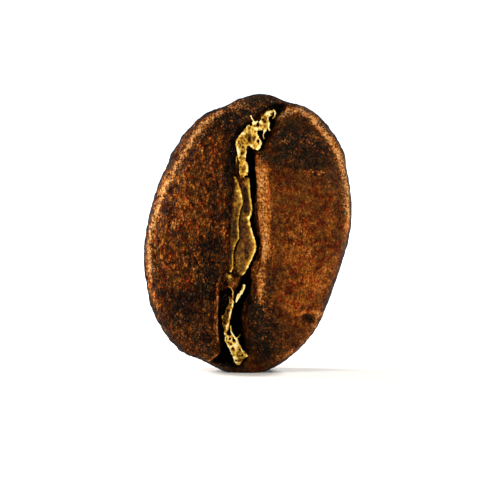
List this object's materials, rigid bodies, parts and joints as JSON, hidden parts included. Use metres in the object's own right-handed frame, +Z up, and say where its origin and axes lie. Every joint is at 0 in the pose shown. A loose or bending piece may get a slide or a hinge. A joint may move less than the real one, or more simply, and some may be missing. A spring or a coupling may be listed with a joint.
{
  "type": "coffee bean",
  "caption": "Roasted coffee bean standing on its end on a small flat spot: two lobes, an S-shaped crease on the flat side, a domed back and torn golden silverskin in the crease.",
  "frame": {"origin": "centre of the bean's bounding box at its foot, in the plane of the small flat spot that it stands on", "axes": "+Z up the bean's length, -Y out of the flat side with the crease, +Y out of the domed back, +X to the right seen from the flat side"},
  "size_m": [0.008, 0.0048, 0.0107],
  "materials": {
    "roasted_seed": "dark roasted seed coat, fine grain with a thin film of oil",
    "silverskin": "dry golden papery skin, crumpled and slightly shiny"
  },
  "bodies": {
    "root": {"bean": "roasted_seed", "silverskin_flake": "silverskin", "silverskin_ribbon": "silverskin", "silverskin_leaf": "silverskin", "silverskin_tuft": "silverskin"}
  },
  "joints": []
}
